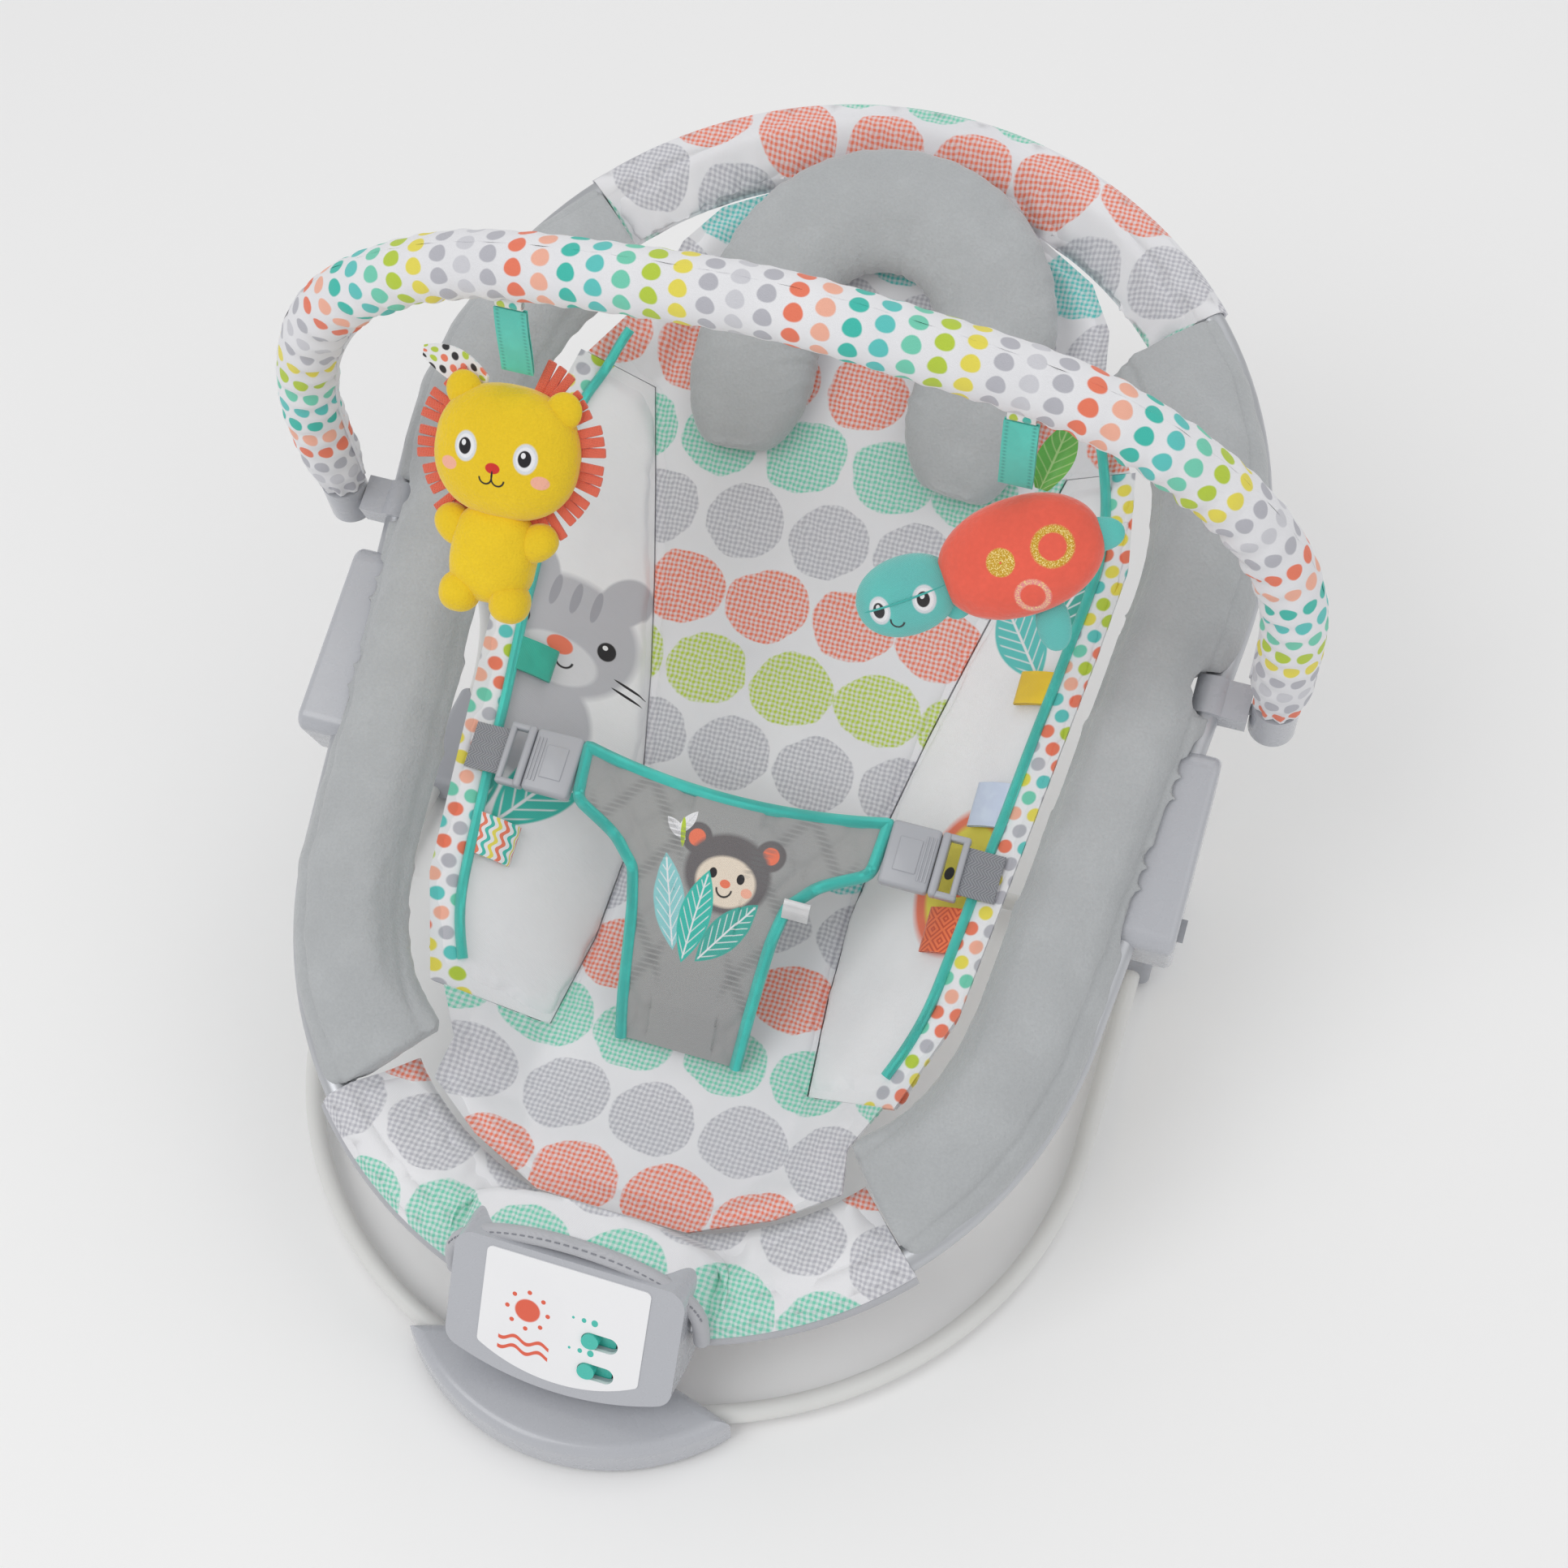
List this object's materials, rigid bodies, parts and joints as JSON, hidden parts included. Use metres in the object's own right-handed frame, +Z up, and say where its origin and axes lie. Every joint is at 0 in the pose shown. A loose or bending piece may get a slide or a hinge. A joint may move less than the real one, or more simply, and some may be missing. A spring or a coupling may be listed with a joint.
{
  "type": "bouncer seat",
  "caption": "Baby bouncer seat: wire base with sprung legs, padded reclined seat with harness, front sound and vibration unit, and a toy bar with two hanging soft toys.",
  "frame": {"origin": "on the floor under the middle of the whole seat", "axes": "+X to the right seen from the front, +Y towards the head end, +Z up; the front with the sound unit faces -Y"},
  "size_m": [0.544, 0.6754, 0.4728],
  "materials": {
    "coated_wire": "satin",
    "tube_steel": "satin",
    "grey_gloss": "gloss",
    "grey_matte": "matte",
    "rubber_pad": "matte",
    "panel_white": "gloss",
    "teal_plastic": "gloss",
    "screw_steel": "satin",
    "cell_wrap": "gloss",
    "board_green": "satin",
    "speaker_black": "matte",
    "motor_steel": "satin",
    "grey_plush": "plush",
    "dot_fabric": "matte",
    "printed_fabric": "matte",
    "crotch_fabric": "matte",
    "webbing": "woven",
    "ribbon": "satin",
    "sleeve_fabric": "matte",
    "lion_plush": "plush",
    "turtle_plush": "plush",
    "strap_teal": "satin"
  },
  "bodies": {
    "base": {"front_foot_cover": "grey_gloss", "front_foot_base": "grey_matte", "front_foot_pads": "rubber_pad", "left_floor_wire": "coated_wire", "right_floor_wire": "coated_wire", "rear_cross_wire": "coated_wire", "left_rear_foot": "grey_matte", "right_rear_foot": "grey_matte", "rear_foot_pads": "rubber_pad"},
    "seat": {"left_spring_leg": "coated_wire", "right_spring_leg": "coated_wire", "upper_seat_tube": "tube_steel", "lower_seat_tube": "tube_steel", "left_hub_outer": "grey_gloss", "right_hub_outer": "grey_gloss", "left_hub_inner": "grey_gloss", "right_hub_inner": "grey_gloss", "hub_screws": "screw_steel", "left_bolster": "grey_plush", "right_bolster": "grey_plush", "head_band": "dot_fabric", "front_apron": "dot_fabric", "seat_pad": "dot_fabric", "left_wing": "printed_fabric", "right_wing": "printed_fabric", "head_pillow": "grey_plush", "crotch_panel": "crotch_fabric", "left_buckle_socket": "grey_matte", "right_buckle_socket": "grey_matte", "left_harness_strap": "webbing", "right_harness_strap": "webbing", "ribbon_loops": "ribbon", "console_front_shell": "grey_gloss", "console_back_shell": "grey_gloss", "console_screws": "screw_steel", "face_panel": "panel_white", "batteries": "cell_wrap", "circuit_board": "board_green", "speaker": "speaker_black", "vibration_motor": "motor_steel", "left_toy_clamp": "grey_gloss", "right_toy_clamp": "grey_gloss"},
    "left_hub_button": {"left_hub_button": "grey_matte"},
    "right_hub_button": {"right_hub_button": "grey_matte"},
    "volume_switch": {"volume_switch": "teal_plastic"},
    "vibration_switch": {"vibration_switch": "teal_plastic"},
    "motor_rotor": {"motor_weight": "motor_steel"},
    "battery_door": {"battery_door": "grey_gloss"},
    "left_tongue": {"left_buckle_tongue": "grey_matte"},
    "right_tongue": {"right_buckle_tongue": "grey_matte"},
    "bar_cups": {"left_bar_cup": "grey_gloss", "right_bar_cup": "grey_gloss"},
    "toy_bar": {"toy_bar_tube": "tube_steel", "toy_bar_sleeve": "sleeve_fabric", "toy_loops": "sleeve_fabric"},
    "lion_strap": {"lion_strap": "strap_teal"},
    "lion": {"lion_toy": "lion_plush"},
    "turtle_strap": {"turtle_strap": "strap_teal"},
    "turtle": {"turtle_toy": "turtle_plush"}
  },
  "joints": [
    {"name": "bounce", "type": "hinge", "parent": "base", "child": "seat", "pos_m": [0, 0.071, 0.07], "axis": [-1, 0, 0], "range_deg": [-1.4, 3], "stiffness_Nm_per_rad": 150},
    {"name": "toy_bar_tilt", "type": "hinge", "parent": "seat", "child": "bar_cups", "pos_m": [0, 0.06919, 0.21227], "axis": [1, 0, 0], "range_deg": [-60, 30]},
    {"name": "toy_bar_lift", "type": "slide", "parent": "bar_cups", "child": "toy_bar", "axis": [0, -0.2079, 0.9781], "range_m": [0, 0.03]},
    {"name": "lion_strap_swing", "type": "hinge", "parent": "toy_bar", "child": "lion_strap", "pos_m": [-0.12, 0.02013, 0.41914], "axis": [1, 0, 0], "range_deg": [-40, 40]},
    {"name": "lion_swing", "type": "hinge", "parent": "lion_strap", "child": "lion", "pos_m": [-0.12, 0.02013, 0.37914], "axis": [0, 1, 0], "range_deg": [-20, 20]},
    {"name": "turtle_strap_swing", "type": "hinge", "parent": "toy_bar", "child": "turtle_strap", "pos_m": [0.12, 0.02013, 0.41914], "axis": [1, 0, 0], "range_deg": [-40, 40]},
    {"name": "turtle_swing", "type": "hinge", "parent": "turtle_strap", "child": "turtle", "pos_m": [0.12, 0.02013, 0.37914], "axis": [0, 1, 0], "range_deg": [-20, 20]},
    {"name": "volume_slide", "type": "slide", "parent": "seat", "child": "volume_switch", "axis": [1, 0, 0], "range_m": [0, 0.0094]},
    {"name": "vibration_slide", "type": "slide", "parent": "seat", "child": "vibration_switch", "axis": [1, 0, 0], "range_m": [0, 0.0094]},
    {"name": "motor_spin", "type": "hinge", "parent": "seat", "child": "motor_rotor", "pos_m": [0.045, -0.26301, 0.08004], "axis": [1, 0, 0], "continuous": true},
    {"name": "battery_door_slide", "type": "slide", "parent": "seat", "child": "battery_door", "axis": [0, 0, -1], "range_m": [0, 0.02]},
    {"name": "left_buckle_release", "type": "slide", "parent": "seat", "child": "left_tongue", "axis": [-1, 0, 0], "range_m": [0, 0.009]},
    {"name": "right_buckle_release", "type": "slide", "parent": "seat", "child": "right_tongue", "axis": [1, 0, 0], "range_m": [0, 0.009]},
    {"name": "left_hub_press", "type": "slide", "parent": "seat", "child": "left_hub_button", "axis": [1, 0, 0], "range_m": [0, 0.0025], "stiffness_N_per_m": 900, "springref_m": -0.001},
    {"name": "right_hub_press", "type": "slide", "parent": "seat", "child": "right_hub_button", "axis": [-1, 0, 0], "range_m": [0, 0.0025], "stiffness_N_per_m": 900, "springref_m": -0.001}
  ]
}
